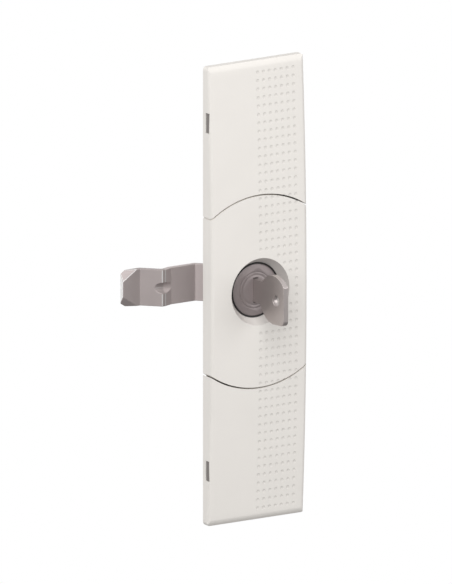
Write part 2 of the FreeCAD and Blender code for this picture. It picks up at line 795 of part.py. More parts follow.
def make_wafer(name, number):
    """A flat tumbler: round ends that fill the plug's outline, a window for the key and a spring notch."""
    body = new_body(name)
    way = wafer_way(number)
    edge = "sqrt(plug_radius ^ 2 - wafer_half_width ^ 2)"
    notch_in = "(spring_offset - spring_notch_half_width)"
    notch_out = "(spring_offset + spring_notch_half_width)"
    end_in = f"sqrt(plug_radius ^ 2 - {notch_in} ^ 2)"
    end_out = f"sqrt(plug_radius ^ 2 - {notch_out} ^ 2)"
    outline = [
        ("-wafer_half_width", f"{-way} * {edge}", "plug_radius", way),
        (notch_in, f"{-way} * {end_in}"),
        (notch_in, f"{-way} * spring_top"),
        (notch_out, f"{-way} * spring_top"),
        (notch_out, f"{-way} * {end_out}", "plug_radius", way),
        ("wafer_half_width", f"{-way} * {edge}"),
        ("wafer_half_width", f"{way} * {edge}", "plug_radius", way),
        ("-wafer_half_width", f"{way} * {edge}"),
    ]
    front = f"{wafer_place(number)} - wafer_thickness / 2"
    back = f"{wafer_place(number)} + wafer_thickness / 2"
    pad(body, "XZ_Plane", [outline], front, back)
    high = "(blade_height / 2 + window_clearance)"
    window = rectangle("-window_half_width", "window_half_width", f"-{high}", high)
    pocket(body, "XZ_Plane", [window], front, back)
    return body


def make_spring(name, number):
    """A small coil spring between the plug's ledge and the wafer's notch."""
    body = new_body(name)
    way = wafer_way(number)
    sketch = sketch_on(body, "XZ_Plane", "0")
    draw_circle(sketch, "spring_coil_radius", "0", "spring_wire / 2")
    coil = body.newObject("PartDesign::AdditiveHelix", f"{name}_coil")
    coil.Profile = sketch
    coil.ReferenceAxis = (sketch, ["V_Axis"])
    coil.Mode = "height-turns-growth"
    bind(coil, "Height", "spring_length - spring_wire - 2 * spring_clearance")
    bind(coil, "Turns", "spring_turns")
    low = "spring_wire / 2 + spring_clearance"
    centre = f"spring_top + {low}" if way < 0 else f"-(spring_top + spring_length) + {low}"
    bind(body, "Placement.Base.x", "spring_offset")
    bind(body, "Placement.Base.y", wafer_place(number))
    bind(body, "Placement.Base.z", centre)
    return body


def make_key(name):
    """The key: round bow with a straight front edge, a hole for a ring, and a blade with five cuts."""
    body = new_body(name)
    bow = f"({HEAD_FRONT} - bow_distance)"
    half = "(blade_height / 2)"
    top_meet = f"({bow} + sqrt(bow_radius ^ 2 - ({half} + bow_drop) ^ 2))"
    low_meet = f"({bow} + sqrt(bow_radius ^ 2 - ({half} - bow_drop) ^ 2))"
    front = f"({bow} - bow_front)"
    front_top = "(-bow_drop + sqrt(bow_radius ^ 2 - bow_front ^ 2))"
    bottom = "(-bow_drop - bow_radius)"
    foot = f"({bottom} + bow_foot_rise)"
    outline = [
        (top_meet, half, "bow_radius", 1),
        (front, front_top),
        (front, f"{foot} + bow_corner_radius", "bow_corner_radius", 1),
        (f"{front} + bow_corner_radius", foot),
        (bow, bottom, "bow_radius", 1),
        (low_meet, f"-{half}"),
    ]
    for edge, numbers in ((-1, (2, 4)), (1, (5, 3, 1))):
        for number in numbers:
            place = wafer_place(number)
            cuts = [
                (f"{place} + {edge} * (cut_half_width + cut_depth_{number})", f"{edge} * {half}"),
                (f"{place} + {edge} * cut_half_width", f"{edge} * ({half} - cut_depth_{number})"),
                (f"{place} - {edge} * cut_half_width", f"{edge} * ({half} - cut_depth_{number})"),
                (f"{place} - {edge} * (cut_half_width + cut_depth_{number})", f"{edge} * {half}"),
            ]
            outline += cuts
        if edge < 0:
            outline += [
                ("blade_end - blade_tip_chamfer", f"-{half}"),
                ("blade_end", f"-({half} - blade_tip_chamfer)"),
                ("blade_end", f"{half} - blade_tip_chamfer"),
                ("blade_end - blade_tip_chamfer", half),
            ]
    hole = (f"{bow} - bow_hole_distance", "-bow_drop", "bow_hole_radius")
    pad(body, "YZ_Plane", [outline, hole], "-key_thickness / 2", "key_thickness / 2")
    return body


# The stop disc, the arm and what holds it


def make_stop_disc(name):
    """The disc on the plug's square, with the notch in which the housing's lug stops it."""
    body = new_body(name)
    square_hole = square("tail_square + 2 * square_clearance")
    disc = ("0", "0", "disc_radius")
    pad(body, "XZ_Plane", [disc, square_hole], DISC_FRONT, DISC_BACK)
    inner = "(lug_inner_radius - disc_notch_gap)"
    outer = f"(disc_radius + {BEYOND})"
    low = f"({LUG_PLACE} - lug_half_angle - turn_angle - disc_notch_clearance)"
    high = f"({LUG_PLACE} + lug_half_angle + disc_notch_clearance)"
    notch = [
        (f"{inner} * cos({low})", f"{inner} * sin({low})"),
        (f"{outer} * cos({low})", f"{outer} * sin({low})", outer, 1),
        (f"{outer} * cos({high})", f"{outer} * sin({high})"),
        (f"{inner} * cos({high})", f"{inner} * sin({high})", inner, -1),
    ]
    pocket(body, "XZ_Plane", [notch], DISC_FRONT, DISC_BACK)
    return body


def arm_bends():
    """The front line of the bent arm, from the hub to the tip: (place along X, place along Y) formulas."""
    rise_end = "(-arm_rise_start - arm_rise / tan(arm_rise_angle))"
    flat = f"({DISC_BACK} + arm_rise)"
    ridge = f"({flat} - (arm_ridge_distance - arm_flat_end) * tan(arm_ridge_angle))"
    back_end = "(-arm_ridge_distance - arm_back_depth / tan(arm_back_angle))"
    tip = f"({ridge} + arm_back_depth)"
    return [
        ("arm_width / 2", DISC_BACK),
        ("-arm_rise_start", DISC_BACK),
        (rise_end, flat),
        ("-arm_flat_end", flat),
        ("-arm_ridge_distance", ridge),
        (back_end, tip),
        ("-arm_tip_distance", tip),
    ]


def arm_angles():
    """How steeply each straight of the arm runs to the back, going left."""
    return ["0", "arm_rise_angle", "0", "(-arm_ridge_angle)", "arm_back_angle", "0"]


def edges_at(shape, places):
    """The names of the shape's edges whose middles are at one of the places."""
    names = []
    for number, edge in enumerate(shape.Edges, start=1):
        if any((edge.CenterOfMass - place).Length < NEAR for place in places):
            names.append(f"Edge{number}")
    return names


def arm_strip(name):
    """The arm as bent strip: the front line and the back line one thickness behind it."""
    body = new_body(name)
    front = arm_bends()
    angles = arm_angles()
    back = []
    for number, (across, depth) in enumerate(front):
        before = angles[max(number - 1, 0)]
        after = angles[min(number, len(angles) - 1)]
        mean = f"(({before}) + ({after})) / 2"
        half = f"(({after}) - ({before})) / 2"
        shift_x = f"arm_thickness * sin({mean}) / cos({half})"
        shift_y = f"arm_thickness * cos({mean}) / cos({half})"
        back.append((f"{across} + {shift_x}", f"{depth} + {shift_y}"))
    strip = pad(body, "XY_Plane", [front + back[::-1]], "-arm_width / 2", "arm_width / 2")
    bends = front[1:RIDGE] + front[RIDGE + 1:-1] + back[1:-1]
    places = [FreeCAD.Vector(value(across), value(depth), 0) for across, depth in bends]
    document.recompute()
    rounding = body.newObject("PartDesign::Fillet", f"{name}_bends")
    rounding.Base = (strip, edges_at(strip.Shape, places))
    bind(rounding, "Radius", "arm_bend_radius")
    document.recompute()
    ridge = arm_bends()[RIDGE][1]
    reach = f"(arm_width / 2 + {BEYOND})"
    land = rectangle("-arm_ridge_distance - arm_back_depth", "-arm_flat_end", f"-{reach}", reach)
    pocket(body, "XZ_Plane", [land], f"{ridge} - {BEYOND}", f"{ridge} + arm_ridge_flat")
    hub = "(arm_width / 2)"
    hub_front = f"{DISC_BACK} - {BEYOND}"
    hub_back = f"{ARM_BACK} + {BEYOND}"
    for way in (-1, 1):
        corner = [
            ("0", f"{way} * {hub}", hub, -way),
            (hub, "0"),
            (reach, "0"),
            (reach, f"{way} * {reach}"),
            ("0", f"{way} * {reach}"),
        ]
        pocket(body, "XZ_Plane", [corner], hub_front, hub_back)
    square_hole = square("tail_square + 2 * square_clearance")
    pocket(body, "XZ_Plane", [square_hole], hub_front, hub_back)
    return body


def tilted_body(name, place, axis, angle):
    """An empty body with its origin at a place, turned about an axis."""
    body = new_body(name)
    for direction, text in zip("xyz", place):
        bind(body, f"Placement.Base.{direction}", text)
    body.Placement.Rotation = FreeCAD.Rotation(axis, 0)
    bind(body, "Placement.Rotation.Angle", angle)
    return body


def corner_waste(name, way):
    """What comes off a corner of the arm's tip: way is 1 for the top, -1 for the bottom.

    The cut is a slope through the thickness. It is its full size on the front face, and a named share
    of that on the back face. The body's X axis runs along the cut's line on the front face.
    """
    tip = arm_bends()[-1][1]
    place = ("-arm_tip_distance", tip, f"{way} * (arm_width / 2 - tip_corner_height)")
    body = tilted_body(name, place, FreeCAD.Vector(0, -way, 0), "atan(tip_corner_height / tip_corner_length)")
    span = "sqrt(tip_corner_length ^ 2 + tip_corner_height ^ 2)"
    slope = f"((1 - tip_corner_back) * tip_corner_length * tip_corner_height / {span} / arm_thickness)"
    far = "(tip_corner_length + tip_corner_height)"
    pad(body, "YZ_Plane", [[
        (f"-{CORNER_LEAD}", f"-{way} * {slope} * {CORNER_LEAD}"),
        (f"arm_thickness + {CORNER_LEAD}", f"{way} * {slope} * (arm_thickness + {CORNER_LEAD})"),
        (f"arm_thickness + {CORNER_LEAD}", f"{way} * {far}"),
        (f"-{CORNER_LEAD}", f"{way} * {far}"),
    ]], f"-{far}", far)
    return body


def make_arm(name):
    """The steel tongue: bent strip with the gusset pressed across its ridge and sloped corners at its tip."""
    strip = arm_strip(f"{name}_strip")
    centre = "(gusset_depth - gusset_radius)"
    outer = "(gusset_radius + gusset_wall)"
    chord = f"sqrt({outer} ^ 2 - gusset_radius ^ 2)"
    ridge = (*arm_bends()[RIDGE], "0")
    clockwise = FreeCAD.Vector(0, 0, -1)
    bulge = tilted_body(f"{name}_bulge", ridge, clockwise, "gusset_tilt")
    segment = [("gusset_depth", f"-{chord}", outer, 1), ("gusset_depth", chord)]
    pad(bulge, "YZ_Plane", [segment], "-gusset_left", "gusset_right")
    dent = tilted_body(f"{name}_dent", ridge, clockwise, "gusset_tilt")
    reach = "(gusset_left + gusset_right)"
    pad(dent, "YZ_Plane", [(centre, "0", "gusset_radius")], f"-{reach}", reach)
    whole = boolean("MultiFuse", f"{name}_whole", strip, [bulge])
    dented = boolean("Cut", f"{name}_dented", whole, [dent])
    sloped = boolean("Cut", f"{name}_sloped", dented, [corner_waste(f"{name}_top_corner", 1)])
    return boolean("Cut", name, sloped, [corner_waste(f"{name}_bottom_corner", -1)])


def make_lock_washer(name):
    """The split spring washer under the arm's screw."""
    body = new_body(name)
    revolve(body, ring("screw_radius + square_clearance", "lock_washer_radius", ARM_BACK, SCREW_SEAT))
    outer = f"(lock_washer_radius + {BEYOND})"
    gap = [
        ("0", "0"),
        (f"{outer} * cos(lock_washer_gap_angle / 2)", f"-{outer} * sin(lock_washer_gap_angle / 2)"),
        (f"{outer} * cos(lock_washer_gap_angle / 2)", f"{outer} * sin(lock_washer_gap_angle / 2)"),
    ]
    pocket(body, "XZ_Plane", [gap], ARM_BACK, SCREW_SEAT)
    return body


def make_cam_screw(name):
    """The socket screw that holds the arm on the plug's square."""
    body = new_body(name)
    end = f"({SCREW_SEAT} + screw_head_height)"
    start = f"({SCREW_SEAT} - screw_length - lock_washer_thickness + screw_end_clearance)"
    revolve(body, [
        ("0", start),
        ("screw_radius - screw_end_chamfer", start),
        ("screw_radius", f"{start} + screw_end_chamfer"),
        ("screw_radius", SCREW_SEAT),
        ("screw_head_radius", SCREW_SEAT),
        ("screw_head_radius", f"{end} - screw_head_chamfer"),
        ("screw_head_radius - screw_head_chamfer", end),
        ("0", end),
    ])
    pocket(body, "XZ_Plane", [hexagon("screw_socket_flats")], f"{end} - screw_socket_depth", end)
    return body


def build():
    """Every sub-part of the lock, by name."""
    parts = {
        "mounting_frame": make_frame("mounting_frame"),
        "upper_cover": make_end_cover("upper_cover", 1),
        "centre_cover": make_centre_cover("centre_cover"),
        "lower_cover": make_end_cover("lower_cover", -1),
        "lock_housing": make_housing("lock_housing"),
        "head_gasket": make_gasket("head_gasket"),
        "housing_lock_washer": make_toothed_washer("housing_lock_washer"),
        "housing_nut": make_nut("housing_nut"),
        "lock_plug": make_plug("lock_plug"),
        "key": make_key("key"),
        "stop_disc": make_stop_disc("stop_disc"),
        "cam_arm": make_arm("cam_arm"),
        "cam_lock_washer": make_lock_washer("cam_lock_washer"),
        "cam_screw": make_cam_screw("cam_screw"),
    }
    for number in WAFERS:
        parts[f"wafer_{number}"] = make_wafer(f"wafer_{number}", number)
        parts[f"wafer_spring_{number}"] = make_spring(f"wafer_spring_{number}", number)
    for name, item in parts.items():
        item.Label = name
    return parts


def check(parts):
    """Stop if any object failed, a cut removed nothing, or a sub-part is not a sound solid."""
    for item in document.Objects:
        if "Invalid" in item.State or "Error" in item.State:
            raise RuntimeError(f"{item.Name} failed: {item.State}")
        if item.TypeId in ("PartDesign::Pocket", "PartDesign::Groove"):
            removed = item.BaseFeature.Shape.Volume - item.Shape.Volume
            if removed <= 0:
                raise RuntimeError(f"{item.Name} cuts nothing")
    for name, item in parts.items():
        if item.Shape.isNull() or not item.Shape.isValid() or not item.Shape.Solids:
            raise RuntimeError(f"{name} is not a sound solid")


def export(parts):
    """Write each sub-part's shape to its own STEP file."""
    os.makedirs("parts", exist_ok=True)
    for name, item in parts.items():
        item.Shape.exportStep(f"parts/{name}.step")
        box = item.Shape.BoundBox
        spans = (box.XMin, box.XMax, box.YMin, box.YMax, box.ZMin, box.ZMax)
        print(name, len(item.Shape.Solids), round(item.Shape.Volume, 3), [round(span, 2) for span in spans])


pieces = build()
document.recompute()
check(pieces)
export(pieces)
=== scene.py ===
# %% [markdown]
# # Enclosure door lock
# A slim white strip sits on the outside of an enclosure's door. In its middle is a cylinder lock with
# its key in, and behind the strip the lock's bent steel arm reaches out to the left.
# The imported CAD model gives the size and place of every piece. This file dresses it: the three covers
# are modelled again with their rows of small dimples, the metal gets softened edges, and every piece
# gets a finish.

# %% Load the frame
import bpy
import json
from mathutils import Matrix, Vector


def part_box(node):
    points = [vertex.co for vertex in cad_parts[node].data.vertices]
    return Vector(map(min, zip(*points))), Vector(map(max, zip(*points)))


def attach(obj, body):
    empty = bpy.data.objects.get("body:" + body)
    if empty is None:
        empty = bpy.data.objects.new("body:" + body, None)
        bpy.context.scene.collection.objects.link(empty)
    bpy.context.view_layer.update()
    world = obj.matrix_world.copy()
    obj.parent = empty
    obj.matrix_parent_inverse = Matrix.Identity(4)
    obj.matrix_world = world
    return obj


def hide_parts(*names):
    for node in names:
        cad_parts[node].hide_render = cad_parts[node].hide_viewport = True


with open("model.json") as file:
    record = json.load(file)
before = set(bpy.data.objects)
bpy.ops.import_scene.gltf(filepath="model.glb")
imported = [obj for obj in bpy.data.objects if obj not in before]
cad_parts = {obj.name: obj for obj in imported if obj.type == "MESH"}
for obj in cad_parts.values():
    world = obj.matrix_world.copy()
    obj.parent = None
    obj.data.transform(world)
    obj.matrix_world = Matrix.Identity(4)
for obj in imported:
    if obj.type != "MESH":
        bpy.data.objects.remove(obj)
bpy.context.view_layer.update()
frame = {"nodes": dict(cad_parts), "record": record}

# %% [markdown]
# ## Units
# Blender works in metres and the lock is drawn in millimetres, so its sizes are written with MM. The
# table top, the lamps and the camera's distance are in plain metres.
# The front of the lock faces -Y, +X is on its right and +Z is up. The origin is on the lock's axis.

# %% Libraries, units and the size of the strip
import json
import math

import bmesh
import bpy
from mathutils import Matrix, Vector

MM = 0.001
nodes = frame["nodes"]
strip_low, strip_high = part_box("centre_cover")
HALF_WIDTH = strip_high.x
HALF_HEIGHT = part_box("upper_cover")[1].z
COVER_DEPTH = -strip_low.y
print("strip", HALF_WIDTH * 2, HALF_HEIGHT * 2, COVER_DEPTH)

# %% [markdown]
# ## Finishes
# A real surface is never one flat number. Each finish here starts from the Principled shader and adds
# three things that vary over the surface: a slight change of colour, a change of roughness and a very
# fine bump. They are all made from noise on Object coordinates, so they stay with the piece.
# An image texture could do this too, but noise has no seams and needs no unwrapping.
# Noise seldom comes near 0 or 1, so the colour runs its whole way between two values closer in.

# %% The common part of every finish
NOISE_LOW = 0.3
NOISE_HIGH = 0.7


def start_finish(name, colour, metallic, specular):
    """A material with a Principled shader. Values that are the same all over sit on its sockets."""
    material = bpy.data.materials.new(name)
    material.use_nodes = True
    shader = material.node_tree.nodes["Principled BSDF"]
    shader.inputs["Base Color"].default_value = (*colour, 1)
    shader.inputs["Metallic"].default_value = metallic
    shader.inputs["Specular IOR Level"].default_value = specular
    return material, shader


def noise_on(material, scale, detail, stretch=(1, 1, 1)):
    """Noise over the piece's own coordinates. stretch above 1 makes it finer along that axis."""
    tree = material.node_tree
    where = tree.nodes.new("ShaderNodeTexCoord")
    mapping = tree.nodes.new("ShaderNodeMapping")
    mapping.inputs["Scale"].default_value = stretch
    noise = tree.nodes.new("ShaderNodeTexNoise")
    noise.inputs["Scale"].default_value = scale
    noise.inputs["Detail"].default_value = detail
    tree.links.new(where.outputs["Object"], mapping.inputs["Vector"])
    tree.links.new(mapping.outputs["Vector"], noise.inputs["Vector"])
    return noise


def vary_colour(material, shader, noise, colour, spread):
    """Let the base colour drift a little above and below its mean."""
    tree = material.node_tree
    ramp = tree.nodes.new("ShaderNodeValToRGB")
    darker = [channel * (1 - spread) for channel in colour]
    lighter = [min(channel * (1 + spread), 1) for channel in colour]
    ramp.color_ramp.elements[0].position = NOISE_LOW
    ramp.color_ramp.elements[0].color = (*darker, 1)
    ramp.color_ramp.elements[1].position = NOISE_HIGH
    ramp.color_ramp.elements[1].color = (*lighter, 1)
    tree.links.new(noise.outputs["Fac"], ramp.inputs["Fac"])
    tree.links.new(ramp.outputs["Color"], shader.inputs["Base Color"])


def vary_roughness(material, shader, noise, low, high):
    """Let the roughness run between two values."""
    tree = material.node_tree
    span = tree.nodes.new("ShaderNodeMapRange")
    span.inputs["To Min"].default_value = low
    span.inputs["To Max"].default_value = high
    tree.links.new(noise.outputs["Fac"], span.inputs["Value"])
    tree.links.new(span.outputs["Result"], shader.inputs["Roughness"])


def add_bump(material, shader, noise, distance, strength):
    """Raise and lower the surface by a fine pattern."""
    tree = material.node_tree
    bump = tree.nodes.new("ShaderNodeBump")
    bump.inputs["Distance"].default_value = distance
    bump.inputs["Strength"].default_value = strength
    tree.links.new(noise.outputs["Fac"], bump.inputs["Height"])
    tree.links.new(bump.outputs["Normal"], shader.inputs["Normal"])


# %% [markdown]
# ### Moulded plastic
# The covers are injection moulded. The mould is finely sandblasted, which gives the white skin its
# soft sheen. Broad noise clouds the colour by a trace, and fine noise stands for the blasted grain.
# The dimples' bottoms keep a coarser grain than the wiped surface round them, so they are rougher; their
# darker white is painted shade.
# The dish round the lock is a darker white than the rest: painted shade in the hollow round the lock.

# %% Plastic finishes
PLASTIC_SPECULAR = 0.4
CLOUD_SCALE = 60
CLOUD_DETAIL = 3
CLOUD_SPREAD = 0.012
GRAIN_SCALE = 4500
GRAIN_DETAIL = 2
GRAIN_HEIGHT = 0.004 * MM
GRAIN_STRENGTH = 0.5

WARM_WHITE = (0.855, 0.82, 0.777)
# A darker white for the dimples: painted shade in their hollows.
DIMPLE_SHADE_WHITE = (0.75, 0.72, 0.68)
# A darker white for the dish: painted shade in the hollow round the lock.
DISH_SHADE_WHITE = (0.68, 0.645, 0.615)
DARK_GREY = (0.21, 0.19, 0.18)
RUBBER_BLACK = (0.02, 0.018, 0.018)


def moulded_plastic(name, colour, rough_low, rough_high):
    """A matt moulded skin."""
    material, shader = start_finish(name, colour, 0, PLASTIC_SPECULAR)
    clouds = noise_on(material, CLOUD_SCALE, CLOUD_DETAIL)
    grain = noise_on(material, GRAIN_SCALE, GRAIN_DETAIL)
    vary_colour(material, shader, clouds, colour, CLOUD_SPREAD)
    vary_roughness(material, shader, grain, rough_low, rough_high)
    add_bump(material, shader, grain, GRAIN_HEIGHT, GRAIN_STRENGTH)
    return material


cover_plastic = moulded_plastic("cover_plastic", WARM_WHITE, rough_low=0.45, rough_high=0.6)
# The dimples' plastic is rougher, and darker as painted shade.
dimple_painted_shade = moulded_plastic("dimple_painted_shade", DIMPLE_SHADE_WHITE, rough_low=0.7, rough_high=0.85)
# The dish's plastic is darker as painted shade.
dish_painted_shade = moulded_plastic("dish_painted_shade", DISH_SHADE_WHITE, rough_low=0.6, rough_high=0.75)
frame_plastic = moulded_plastic("frame_plastic", DARK_GREY, rough_low=0.5, rough_high=0.65)
gasket_rubber = moulded_plastic("gasket_rubber", RUBBER_BLACK, rough_low=0.6, rough_high=0.8)
print("plastics", cover_plastic.name, dimple_painted_shade.name, dish_painted_shade.name, frame_plastic.name,
      gasket_rubber.name)

# %% [markdown]
# ### Plated metal
# The lock's head, the key and the arm are plated and then left satin. The fine marks of rolling run
# along one direction, so the noise is stretched: it is fine across that direction and long along it.
# A satin plating scatters much of its light, so it is mixed from a metal and a plain grey. The key is
# the shiniest of the three: its flat side mirrors the dark lock near the plug and the white strip beyond.
# The small parts inside are plain metal, and the arm's end and some of its edges get a lighter steel as
# painted highlights.

# %% Metal finishes
METAL_SPECULAR = 0.5
TINT_SCALE = 150
TINT_DETAIL = 3
TINT_SPREAD = 0.03
MARK_SCALE = 1200
MARK_DETAIL = 2
MARK_HEIGHT = 0.003 * MM
MARK_STRENGTH = 0.4

SATIN = 0.25
SHINY = 0.7
PLAIN_METAL = 1

NO_DIRECTION = (1, 1, 1)
ALONG_BLADE = (1, 0.1, 4)
ALONG_ARM = (0.1, 0.1, 4)
ALONG_WAFER = (4, 1, 0.2)

DARK_NICKEL = (0.275, 0.235, 0.233)
KEY_NICKEL = (0.47, 0.425, 0.412)
ARM_ZINC = (0.40, 0.35, 0.343)
# A lighter steel for painted highlights on the arm's end and edges.
HIGHLIGHT_STEEL_GREY = (0.70, 0.69, 0.68)
NUT_ZINC = (0.45, 0.44, 0.43)
SPRING_GREY = (0.5, 0.5, 0.5)
BRASS = (0.6, 0.42, 0.18)


def plated_metal(name, colour, direction, metallic, rough_low, rough_high):
    """A plated metal with faint marks along one direction."""
    material, shader = start_finish(name, colour, metallic, METAL_SPECULAR)
    tints = noise_on(material, TINT_SCALE, TINT_DETAIL)
    marks = noise_on(material, MARK_SCALE, MARK_DETAIL, direction)
    vary_colour(material, shader, tints, colour, TINT_SPREAD)
    vary_roughness(material, shader, marks, rough_low, rough_high)
    add_bump(material, shader, marks, MARK_HEIGHT, MARK_STRENGTH)
    return material


lock_metal = plated_metal("lock_metal", DARK_NICKEL, NO_DIRECTION, SATIN, rough_low=0.4, rough_high=0.5)
key_steel = plated_metal("key_steel", KEY_NICKEL, ALONG_BLADE, SHINY, rough_low=0.28, rough_high=0.36)
arm_steel = plated_metal("arm_steel", ARM_ZINC, ALONG_ARM, SATIN, rough_low=0.4, rough_high=0.5)
# The lighter steel of the arm's painted highlights.
painted_highlight_steel = plated_metal("painted_highlight_steel", HIGHLIGHT_STEEL_GREY, ALONG_ARM, SATIN, rough_low=0.3, rough_high=0.4)
zinc_steel = plated_metal("zinc_steel", NUT_ZINC, NO_DIRECTION, PLAIN_METAL, rough_low=0.3, rough_high=0.42)
spring_steel = plated_metal("spring_steel", SPRING_GREY, NO_DIRECTION, PLAIN_METAL,
                            rough_low=0.25, rough_high=0.35)
wafer_brass = plated_metal("wafer_brass", BRASS, ALONG_WAFER, PLAIN_METAL, rough_low=0.3, rough_high=0.42)
print("metals", lock_metal.name, key_steel.name, arm_steel.name, painted_highlight_steel.name, zinc_steel.name,
      spring_steel.name, wafer_brass.name)

# %% [markdown]
# ### Painted light on the inner part of the arm
# The arm's base colour is raised just inwards of its ridge: painted light where the strip shades that
# part of the arm. Two materials on two halves of the arm would need a cut across its mesh. Here the
# colour is multiplied by a gain instead, which the place along X on the piece turns on.

# %% Paint light on the arm inwards
PAINTED_LIGHT_FROM = -23.4 * MM
PAINTED_LIGHT_FULLY = -22.9 * MM
PAINTED_LIGHT_GAIN = 1.36


def paint_light_inwards(material, start, end, gain):
    """Paint light into a finish towards +X, from one place on the piece to another."""
    tree = material.node_tree
    shader = tree.nodes["Principled BSDF"]
    plain = shader.inputs["Base Color"].links[0].from_socket
    where = tree.nodes.new("ShaderNodeTexCoord")
    axes = tree.nodes.new("ShaderNodeSeparateXYZ")
    span = tree.nodes.new("ShaderNodeMapRange")
    span.inputs["From Min"].default_value = start
    span.inputs["From Max"].default_value = end
    span.inputs["To Min"].default_value = 1
    span.inputs["To Max"].default_value = gain
    with_painted_light = tree.nodes.new("ShaderNodeVectorMath")
    with_painted_light.operation = "SCALE"
    tree.links.new(where.outputs["Object"], axes.inputs["Vector"])
    tree.links.new(axes.outputs["X"], span.inputs["Value"])
    tree.links.new(plain, with_painted_light.inputs["Vector"])
    tree.links.new(span.outputs["Result"], with_painted_light.inputs["Scale"])
    tree.links.new(with_painted_light.outputs["Vector"], shader.inputs["Base Color"])


# Painted light on the arm where the strip shades it.
paint_light_inwards(arm_steel, PAINTED_LIGHT_FROM, PAINTED_LIGHT_FULLY, PAINTED_LIGHT_GAIN)
print("brightened", arm_steel.name, "by", PAINTED_LIGHT_GAIN)

# %% [markdown]
# ## A finish for every CAD node
# The record gives each CAD node a material slot, and each slot has one finish here. Many of the nodes
# show only from behind, but they are finished like the rest. A node's mesh stays as it is, and only
# its material takes the place of the one that it came with.

# %% Give every CAD node its finish
FINISHES = {
    "cover_plastic": cover_plastic,
    "frame_plastic": frame_plastic,
    "gasket_rubber": gasket_rubber,
    "lock_metal": lock_metal,
    "key_steel": key_steel,
    "arm_steel": arm_steel,
    "zinc_steel": zinc_steel,
    "spring_steel": spring_steel,
    "wafer_brass": wafer_brass,
}
slots = {row["node"]: row["material_slot"] for row in frame["record"]["subparts"]}
for name, node in nodes.items():
    node.data.materials.clear()
    node.data.materials.append(FINISHES[slots[name]])
print("finished", len(nodes), "nodes")

# %% [markdown]
# ## Tools for cutting
# The covers are cut out of one long bar. Each cut is a Boolean modifier with the exact solver, applied
# at once, so that no modifier is left on the finished piece. The cutting bodies are thrown away.

# %% Helpers that make, cut and finish an object
def mesh_object(name, mesh_builder):
    """An object from a bmesh, linked to the scene."""
    mesh = bpy.data.meshes.new(name)
    mesh_builder.to_mesh(mesh)
    mesh_builder.free()
    thing = bpy.data.objects.new(name, mesh)
    bpy.context.scene.collection.objects.link(thing)
    return thing


def apply_modifiers(thing):
    """Bake the object's modifiers into its mesh."""
    graph = bpy.context.evaluated_depsgraph_get()
    baked = bpy.data.meshes.new_from_object(thing.evaluated_get(graph))
    thing.modifiers.clear()
    thing.data = baked


def combine(thing, tool, operation):
    """Cut, join or intersect one object with another, which is used up."""
    boolean = thing.modifiers.new("combine", "BOOLEAN")
    boolean.operation = operation
    boolean.solver = "EXACT"
    boolean.object = tool
    bpy.context.view_layer.update()
    apply_modifiers(thing)
    bpy.data.objects.remove(tool)


# %% [markdown]
# ## The bowed bar
# Seen from the side, the front of the strip is part of a very large circle: it stands out most at the
# lock. Its left edge has a small rounding and its right edge a larger one. A cube is stretched to the
# strip's section, its two long front edges are bevelled, and cuts every few millimetres along it let
# the front follow the bow. Bending a plain box first would skew the bevels, so the bow comes last.

# %% Make a bowed bar
ARCH_RADIUS = 1250 * MM
LEFT_EDGE = 1.0 * MM
RIGHT_EDGE = 2.0 * MM
BEYOND = 4 * MM
CUT_STEP = 2 * MM
ROUND_SEGMENTS = 8
NEAR = MM / 100


def sag(height):
    """How far the bowed front has fallen back at a height."""
    return ARCH_RADIUS - math.sqrt(ARCH_RADIUS ** 2 - height ** 2)


def front_edge(bar, side, half_width, front):
    """The bar's long front edge on one side."""
    return [edge for edge in bar.edges
            if all(abs(vert.co.y - front) < NEAR and vert.co.x * side > half_width - NEAR
                   for vert in edge.verts)]


def bowed_bar(name, half_width, front, back, left_edge, right_edge):
    """A bar longer than the strip, flat behind and bowed in front."""
    reach = HALF_HEIGHT + BEYOND
    bar = bmesh.new()
    bmesh.ops.create_cube(bar, size=1)
    bmesh.ops.scale(bar, vec=(half_width * 2, back - front, reach * 2), verts=bar.verts)
    bmesh.ops.translate(bar, vec=(0, (front + back) / 2, 0), verts=bar.verts)
    for side, radius in ((-1, left_edge), (1, right_edge)):
        if radius > 0:
            bmesh.ops.bevel(bar, geom=front_edge(bar, side, half_width, front), offset=radius,
                            segments=ROUND_SEGMENTS, profile=0.5, affect="EDGES", material=-1)
    for step in range(1, int(2 * reach / CUT_STEP)):
        everything = bar.verts[:] + bar.edges[:] + bar.faces[:]
        level = (0, 0, step * CUT_STEP - reach)
        bmesh.ops.bisect_plane(bar, geom=everything, plane_co=level, plane_no=(0, 0, 1))
    for vert in bar.verts:
        if vert.co.y < back - NEAR:
            vert.co.y += sag(vert.co.z)
    return mesh_object(name, bar)


print("the ends lie", sag(HALF_HEIGHT), "behind the middle")

# %% [markdown]
# ## Cutting bodies for the plan
# The centre cover is what lies inside a large circle round the lock, and the other two lie outside it.
# The strip's outline has small round corners. A circle is cut with a cylinder, and the outline with a
# block whose outer corners are bevelled.

# %% Cutting bodies for the plan
GAP_CIRCLE = strip_high.z
GAP_WIDTH = 0.5 * MM
GAP_SEGMENTS = 256
CORNER_RADIUS = 1.2 * MM
AHEAD = -COVER_DEPTH - BEYOND


def upright_cylinder(name, radius, front, back):
    """A cylinder round the lock's axis."""
    rod = bmesh.new()
    bmesh.ops.create_cone(rod, cap_ends=True, segments=GAP_SEGMENTS, radius1=radius, radius2=radius,
                          depth=back - front)
    bmesh.ops.rotate(rod, matrix=Matrix.Rotation(math.pi / 2, 3, "X"), verts=rod.verts)
    bmesh.ops.translate(rod, vec=(0, (front + back) / 2, 0), verts=rod.verts)
    return mesh_object(name, rod)


